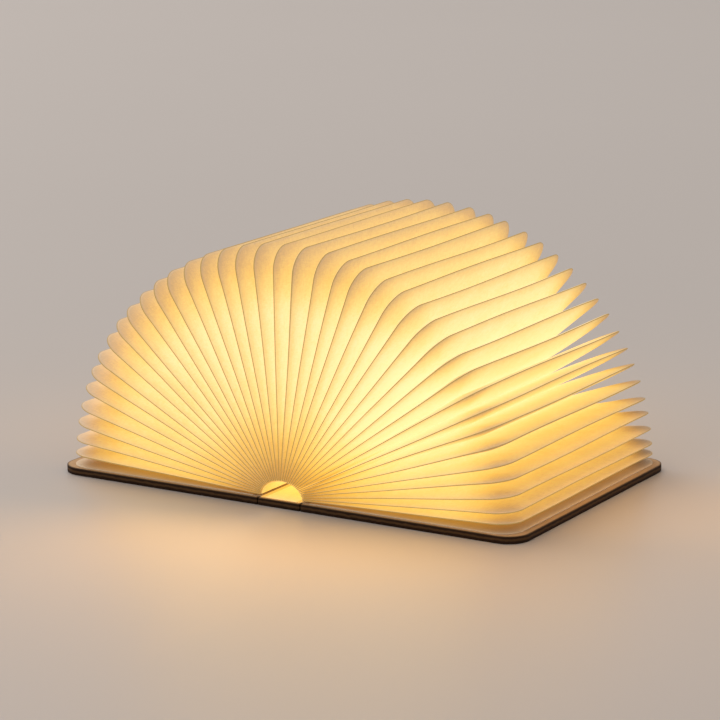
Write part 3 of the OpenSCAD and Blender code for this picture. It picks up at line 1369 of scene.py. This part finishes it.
@dataclass(frozen=True)
class PageLight:
    """How much light comes through a ply, about 0 to 1, as a product of shares.

    It grows from the shaded root outwards, and falls towards the rim, the outer end and the
    corners, most on the ply that faces right: that extra loss is painted shade, the side that
    the room's key light from the left misses. Pages that lie near a cover are darkened by
    painted shade too, more on their ply that faces down. The tips of the corners lose more on
    pages that lie near a cover: at the front more on the left, at the back more on the right.
    """

    root: float = 0.95  # away from the root's shade
    root_loss: float = 0.46
    root_reach: float = 42.0 * MM
    end: Loss = Loss(22.0 * MM, 0.06)
    # painted shade: the turned terms darken the ply that faces right, which the room's key light
    # from the left misses
    rim: Loss = Loss(5.0 * MM, 0.02, turned=0.13)
    outer: Loss = Loss(28.0 * MM, 0.27, turned=0.07, lean=-0.21)
    corner: Loss = Loss(28.0 * MM, 0.02, turned=0.12)
    tip_start: float = 2.0 * MM
    tips: ClassVar[dict[Side, tuple[Loss, Loss]]] = {  # front and back
        Side.RIGHT: (Loss(12.0 * MM, 0.06, low=0.20), Loss(18.0 * MM, 0.12, low=0.76)),
        Side.LEFT: (Loss(12.0 * MM, 0.11, low=0.46), Loss(18.0 * MM, 0.10, low=0.40)),
    }
    lean_gain: float = 0.05
    # painted shade on pages near a cover, more on their ply that faces down
    low_loss: float = 0.22
    low_down_loss: float = 0.12
    lean_slope: float = 45.0  # degrees, as is the spread
    lean_spread: float = 24.0
    turned: tuple[float, float] = (0.5, 0.6)  # of a ply that faces up, and what its turn adds

    def attitude(self, leaf: Leaf, sign: float) -> Attitude:
        """How a page's ply stands.

        Args:
            leaf: The page.
            sign: 1 for the ply that faces the next page over the top, -1 for the other.

        Returns:
            The attitude.
        """
        across, up = sign * leaf.normal
        level, gain = self.turned
        off = (math.degrees(leaf.slope) - self.lean_slope) / self.lean_spread
        low = 1 - math.sin(leaf.slope)
        return Attitude(level + gain * across, (1 - up) / 2, low, math.exp(-(off**2)))

    def through(
        self, leaf: Leaf, s: np.ndarray, y: np.ndarray, rim: np.ndarray, sign: float
    ) -> np.ndarray:
        """The light at each point of a ply.

        Args:
            leaf: The page.
            s: Distances from the root.
            y: Places across the page.
            rim: Distances to the rim.
            sign: 1 for the ply that faces the next page over the top, -1 for the other.

        Returns:
            The light, painted shade included, about 0 to 1.
        """
        way = self.attitude(leaf, sign)
        out, end = leaf.length - s, leaf.half - np.abs(y)
        corner = np.hypot(out, end)
        front, back = (tip.share(corner - self.tip_start, way) for tip in self.tips[leaf.side])
        root = self.root - self.root_loss * np.clip(1 - s / self.root_reach, 0.0, 1.0) ** 2
        sides = self.end.share(end, way) * self.rim.share(rim, way) * self.outer.share(out, way)
        corners = self.corner.share(corner, way) * np.where(y > 0, back, front)
        # painted shade on pages near a cover, more on their ply that faces down
        low_page_shade = (self.low_loss + self.low_down_loss * way.down) * way.low**2
        return root * sides * corners * (1 + self.lean_gain * way.lean - low_page_shade)


@dataclass(frozen=True)
class Wave:
    """A slow wave in the paper, whose phase turns from page to page."""

    height: float
    length: float
    turn: float

    def at(self, place: np.ndarray | float, i: int) -> np.ndarray:
        """Its height on page i: height times sin(place / length + turn i)."""
        return self.height * np.sin(place / self.length + self.turn * i)


@dataclass
class Fan:
    """The pages, each a pocket of two plies seamed at its front, outer and back rim."""

    paintbox: Paintbox
    nodes: dict[str, bpy.types.Object]
    light: PageLight = PageLight()
    corner_r: float = 9.0 * MM
    ply: float = 0.09 * MM  # from the middle plane to a ply, at the rim
    seam: float = 0.15 * MM
    seam_plain: float = 0.05 * MM  # where the rim's dark line begins to fade
    seam_fade: float = 0.25 * MM
    swell: float = 24.0 * MM  # from the rim to where the pocket is full
    fold: float = 0.8 * MM
    fold_share: float = 0.08  # of the swell
    bow: float = 0.22
    meet: float = 0.995  # share of the way to the neighbour's ply
    middle_x: float = -0.28 * MM
    sheet_gap: float = 0.1 * MM
    lean: Wave = Wave(0.06, 1.0, 2.4)
    lean_start: float = 0.7
    across_wave: Wave = Wave(0.07, 19.0 * MM, 1.9)
    along_wave: Wave = Wave(0.04, 11.0 * MM, 2.7)
    keep: float = 0.05  # share of a pocket's thickness that is left when closed
    along_count: int = 48
    across_count: int = 57
    crowding: float = 2.1
    leaves: list[Leaf] = field(default_factory=list)

    def build(self) -> list[bpy.types.Object]:
        """Make every page.

        Returns:
            The pages, from the right cover over the top to the left cover.
        """
        names = sorted(name for name in self.nodes if "_page_" in name)
        right, left = ([Leaf.read(n) for n in names if n.startswith(str(side))] for side in Side)
        self.leaves = right + left[::-1]
        return [self._page(i) for i in range(len(self.leaves))]

    def _meeting(self, i: int, step: int, s: np.ndarray) -> np.ndarray:
        """Where a page's ply meets its neighbour's.

        Two pages of one side share the gap evenly. The two topmost pages meet in the upright
        plane at middle_x, which lies between the places that they close to, so that either
        half can close by itself. The page next to a cover swells down to the end sheet.

        Args:
            i: Number of the page.
            step: 1 for the neighbour over the top, -1 for the one below.
            s: Distances from the root.

        Returns:
            Points in X and Z, one for each distance.
        """
        leaf = self.leaves[i]
        mine = leaf.at(s)
        if not 0 <= i + step < len(self.leaves):
            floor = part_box(f"{leaf.side}_end_sheet")[1].z + self.sheet_gap
            return np.stack([mine[..., 0], np.full_like(s, floor)], -1)
        other = self.leaves[i + step].at(s)
        if self.leaves[i + step].side is leaf.side:
            return (mine + other) / 2
        ahead = mine[..., 0] - self.middle_x
        share = np.clip(ahead / (mine[..., 0] - other[..., 0] + 1e-9), 0.0, 1.0)
        return mine + share[..., None] * (other - mine)

    def _rim(self, leaf: Leaf, s: np.ndarray, y: np.ndarray) -> np.ndarray:
        """Distance to the rounded rim: that of a rounded box whose root side is open.

        Args:
            leaf: The page.
            s: Distances from the root.
            y: Places across the page.

        Returns:
            The distance inwards from the rim.
        """
        r = self.corner_r
        a, b = s - (leaf.length - r), np.abs(y) - (leaf.half - r)
        outside = np.hypot(np.maximum(a, 0), np.maximum(b, 0))
        return r - outside - np.minimum(np.maximum(a, b), 0)

    def _stations(self, leaf: Leaf) -> tuple[np.ndarray, np.ndarray]:
        """The grid of a ply: distances from the root, and places across it.

        The lines crowd together at the rim, as 1 - (1 - u)^crowding. Across, they spread
        over the width that the rounded corners leave at each distance.

        Args:
            leaf: The page.

        Returns:
            Two arrays of the grid's shape, s and y.
        """
        u = np.linspace(0.0, 1.0, self.along_count)
        v = np.linspace(-1.0, 1.0, self.across_count)
        s = leaf.length * (1 - (1 - u) ** self.crowding)
        v = np.sign(v) * (1 - (1 - np.abs(v)) ** self.crowding)
        r = self.corner_r
        over = np.clip(s - (leaf.length - r), 0.0, r)
        width = leaf.half - r + np.sqrt(np.maximum(r * r - over * over, 0.0))
        return np.meshgrid(s, v, indexing="ij")[0], width[:, None] * v[None, :]

    def _waver(self, i: int, s: np.ndarray, y: np.ndarray) -> np.ndarray:
        """How far the paper's rim strays from its plane, as a share of the half gap.

        A steady lean for each page, and two slow waves along the rim with a phase of the
        page's own.

        Args:
            i: Number of the page.
            s: Distances from the root.
            y: Places across the page.

        Returns:
            The share, between -0.2 and 0.2.
        """
        waves = self.across_wave.at(y, i) + self.along_wave.at(s, i)
        return self.lean.at(self.lean_start, i) + waves

    def _page(self, i: int) -> bpy.types.Object:
        """Make one page.

        A ply's point is the middle plane's point, moved towards the meeting surface by the
        swell. It is a quarter ellipse over the rounded fold at the seam, and then a slightly
        bowed slope d (1 + bow (1 - d)), where d is the share of the swell's depth behind it.

        Args:
            i: Number of the page.

        Returns:
            The piece.
        """
        leaf = self.leaves[i]
        s, y = self._stations(leaf)
        rim = self._rim(leaf, s, y)
        depth = np.clip((rim - self.seam) / (self.swell - self.seam), 0.0, 1.0)
        fold = np.clip((rim - self.seam) / self.fold, 0.0, 1.0)
        rise = self.fold_share * np.sqrt(1 - (1 - fold) ** 2)
        rise = rise + (1 - self.fold_share) * depth * (1 + self.bow * (1 - depth))
        rise = rise[..., None]
        middle = leaf.at(s)
        above, below = (self._meeting(i, step, s) - middle for step in (1, -1))
        waver = self._waver(i, s, y)[..., None]
        lean = np.where(waver > 0, above, below) * np.abs(waver) * (1 - rise)
        plies, glows = [], []
        for sign, gap in ((1.0, above), (-1.0, below)):
            flat = sign * self.ply * leaf.normal * (1 - rise) + lean
            x, z = np.moveaxis(middle + flat + self.meet * rise * gap, -1, 0)
            plies.append(np.stack([x, y, z], -1))
            glows.append(self.light.through(leaf, s, y, rim, sign))
        seam = 1 - smooth((rim - self.seam_plain) / self.seam_fade)
        marks = {"glow": Mesh.rings(*glows), "seam": Mesh.rings(seam, seam)}
        faces = Mesh.sleeve(*s.shape, turned=False)
        page = Mesh.build(f"{leaf.name}_pocket", Mesh.rings(*plies), faces, marks, PAPER_CREASE)
        self.paintbox.paint(page, Finish.PAGE)
        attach(page, leaf.name)
        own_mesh(page)
        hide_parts(leaf.name, f"{leaf.side}_pleats")
        return page


@dataclass(frozen=True)
class Bindings:
    """The thin paper strips that arch under the page roots.

    As a cover closes, its strip sinks with its body, so that it ends between the closed
    pages' roots and the module's diffuser.
    """

    paintbox: Paintbox
    arc: int = 24
    across_count: int = 60
    keep: float = 0.03  # share of a strip's height that is left when closed
    lift: float = 0.2 * MM  # from the crown to where it flattens to
    thickness: float = 0.2 * MM
    foot: float = 0.4 * MM  # how far the ellipse's middle lies under the strip
    last_angle: float = 89.0
    # painted light from the module on the strip, dimmer towards its ends
    glow: float = 0.62
    glow_gain: float = 0.14  # away from the ends
    glow_reach: float = 12.0 * MM

    def build(self) -> list[bpy.types.Object]:
        """Make both strips.

        Returns:
            The pieces.
        """
        return [self._strip(side) for side in Side]

    def _strip(self, side: Side) -> bpy.types.Object:
        """Make one strip: a quarter of an ellipse in X and Z, carried along Y.

        Args:
            side: The side that it lies on.

        Returns:
            The piece.
        """
        node = f"{side}_binding"
        low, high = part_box(node)
        reach = max(abs(low.x), abs(high.x))
        base = low.z - self.foot
        start = math.asin(self.foot / (high.z - base))
        turns = np.linspace(start, math.radians(self.last_angle), self.arc)
        ys = np.linspace(low.y, high.y, self.across_count)
        turn, y = np.meshgrid(turns, ys, indexing="ij")
        plies = []
        for t in (0.0, self.thickness):
            x = side.value * (reach - t) * np.cos(turn)
            z = base + (high.z - base - t) * np.sin(turn)
            plies.append(np.stack([x, y, z], -1))
        points = Mesh.rings(*plies)
        end = (high.y - np.abs(points[..., 1])) / self.glow_reach
        marks = {"glow": self.glow + self.glow_gain * smooth(end), "seam": np.zeros_like(end)}
        faces = Mesh.sleeve(self.arc, self.across_count, turned=side is Side.RIGHT)
        strip = Mesh.build(f"{side}_root_strip", points, faces, marks, PAPER_CREASE)
        self.paintbox.paint(strip, Finish.BINDING)
        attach(strip, f"{side}_binding")
        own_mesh(strip)
        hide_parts(node)
        return strip


# ------------------------------------------------------------------ light module


@dataclass(frozen=True)
class Module:
    """The light module: its CAD nodes keep their shapes and get their finishes."""

    paintbox: Paintbox
    finishes: ClassVar[dict[str, Finish]] = {
        "right_magnets": Finish.MAGNET,
        "left_magnets": Finish.MAGNET,
        "module_tray": Finish.TRAY,
        "battery_cell": Finish.CELL,
        "battery_leads": Finish.LEAD,
        "light_board": Finish.BOARD_MASK,
        "light_diodes": Finish.DIODE,
        "opening_sensor": Finish.SENSOR,
        "charge_socket": Finish.SOCKET,
        "diffuser_cover": Finish.DIFFUSER,
    }

    def build(self) -> list[bpy.types.Object]:
        """Dress the module's nodes and the magnets.

        Returns:
            The nodes.
        """
        nodes = [bpy.data.objects[name] for name in self.finishes]
        for node in nodes:
            self.paintbox.paint(node, self.finishes[node.name])
        return nodes


def main() -> None:
    """Load the frame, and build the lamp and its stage."""
    logging.basicConfig(level=logging.INFO, format="%(name)s: %(message)s")
    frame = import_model()
    joints = {joint["name"]: joint for joint in frame["joints"]}
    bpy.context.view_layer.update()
    Camera().build()
    Studio().build()
    paintbox = Paintbox()
    parts = (
        Covers(paintbox, joints),
        Fan(paintbox, frame["nodes"]),
        Bindings(paintbox),
        Module(paintbox),
    )
    for part in parts:
        for piece in part.build():
            LOG.info("%s: %d faces", piece.name, len(piece.data.polygons))


if __name__ == "__main__":
    main()
